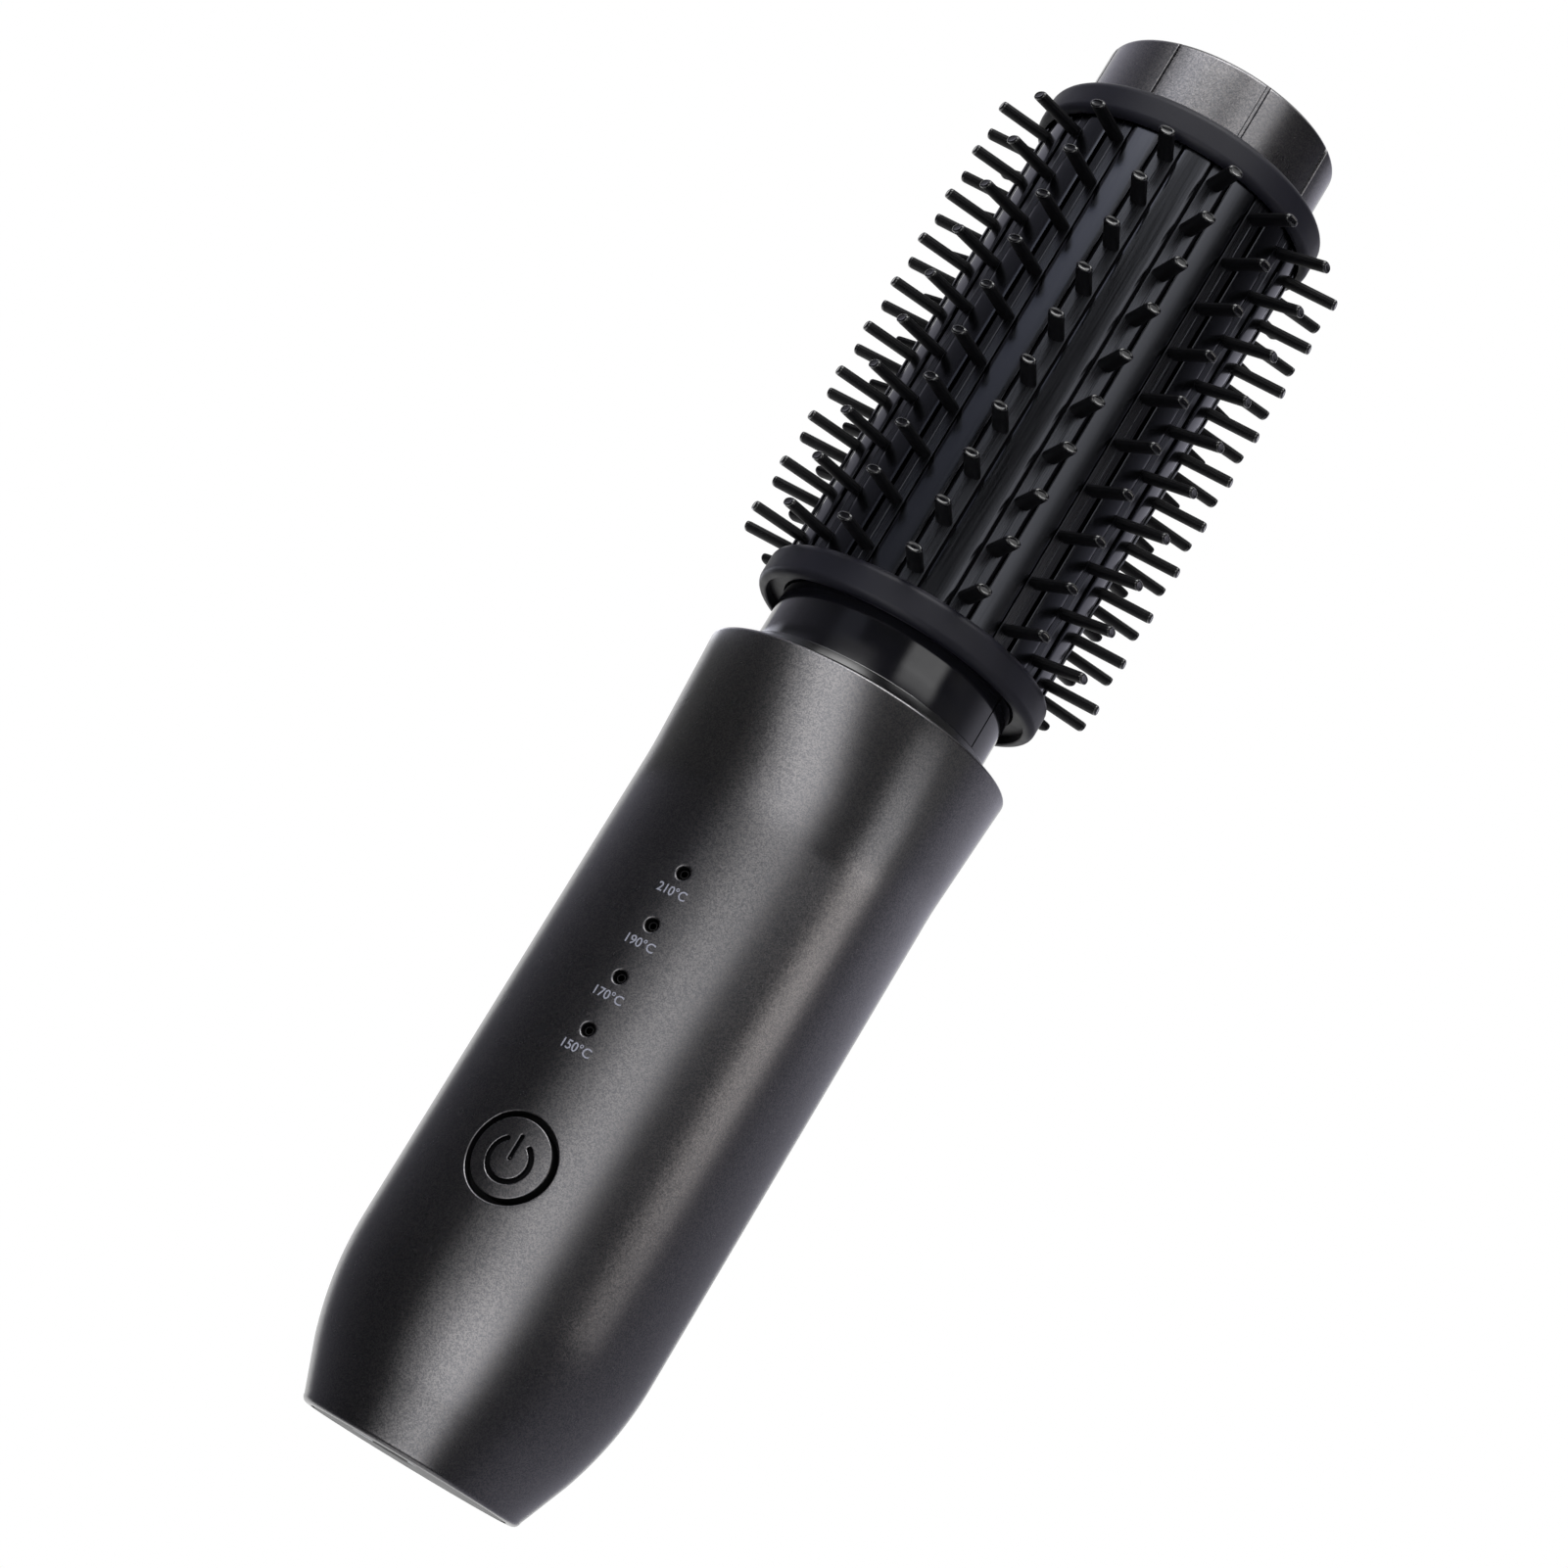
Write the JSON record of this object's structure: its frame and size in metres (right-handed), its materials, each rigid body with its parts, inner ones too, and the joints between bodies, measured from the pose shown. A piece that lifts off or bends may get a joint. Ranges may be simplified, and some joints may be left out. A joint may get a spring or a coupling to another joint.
{
  "type": "heated styling brush",
  "caption": "Cordless heated round brush with a metallic handle, push button, grooved metal barrel between two rings, rows of rigid teeth and a plain tip cap.",
  "frame": {"origin": "centre of the flat base of the handle", "axes": "+Z along the axis of the brush, from the base to the tip; -Y towards the power button"},
  "size_m": [0.0554, 0.0554, 0.2208],
  "materials": {
    "handle_paint": "fine metallic graphite paint, satin",
    "button_paint": "fine metallic graphite paint with an engraved symbol",
    "tip_paint": "fine metallic graphite paint with thin grooves",
    "barrel_metal": "anodised graphite, satin",
    "ring_plastic": "heat-resistant plastic, fine matt",
    "tooth_plastic": "moulded nylon, glossy",
    "neck_plastic": "moulded plastic, satin gloss",
    "collar_plastic": "moulded plastic, satin",
    "base_plastic": "moulded plastic, fine matt",
    "smoked_lens": "smoked polycarbonate",
    "steel": "nickel-plated",
    "board": "glass-fibre board with solder mask",
    "cell_wrap": "shrink wrap",
    "chassis_plastic": "moulded plastic",
    "ceramic": "unglazed ceramic",
    "heater_metal": "extruded"
  },
  "bodies": {
    "brush": {"handle_shell": "handle_paint", "base_cap": "base_plastic", "usb_c_socket": "steel", "usb_c_insert": "chassis_plastic", "top_collar": "collar_plastic", "switch_body": "chassis_plastic", "control_board": "board", "light_guide": "smoked_lens", "indicator_led_1": "smoked_lens", "indicator_led_2": "smoked_lens", "indicator_led_3": "smoked_lens", "indicator_led_4": "smoked_lens", "board_screw_1": "steel", "board_screw_2": "steel", "battery_cell_left": "cell_wrap", "battery_cell_right": "cell_wrap", "cell_strap_bottom": "steel", "cell_strap_top": "steel", "battery_carrier": "chassis_plastic", "neck_front_half": "neck_plastic", "neck_rear_half": "neck_plastic", "heat_barrier": "ceramic", "lower_ring": "ring_plastic", "upper_ring": "ring_plastic", "heating_barrel": "barrel_metal", "comb_strip_01": "tooth_plastic", "comb_strip_02": "tooth_plastic", "comb_strip_03": "tooth_plastic", "comb_strip_04": "tooth_plastic", "comb_strip_05": "tooth_plastic", "comb_strip_06": "tooth_plastic", "comb_strip_07": "tooth_plastic", "comb_strip_08": "tooth_plastic", "comb_strip_09": "tooth_plastic", "comb_strip_10": "tooth_plastic", "comb_strip_11": "tooth_plastic", "comb_strip_12": "tooth_plastic", "comb_strip_13": "tooth_plastic", "comb_strip_14": "tooth_plastic", "comb_strip_15": "tooth_plastic", "comb_strip_16": "tooth_plastic", "heater_plate": "ceramic", "heater_block_front": "heater_metal", "heater_block_rear": "heater_metal", "temperature_sensor": "ceramic", "thermal_cutoff": "steel", "tip_cap": "tip_paint", "tip_plug": "neck_plastic"},
    "button": {"power_button": "button_paint", "switch_plunger": "chassis_plastic"}
  },
  "joints": [
    {"name": "button_press", "type": "slide", "parent": "brush", "child": "button", "axis": [0, 1, 0], "range_m": [0, 0.0005], "stiffness_N_per_m": 1500}
  ]
}
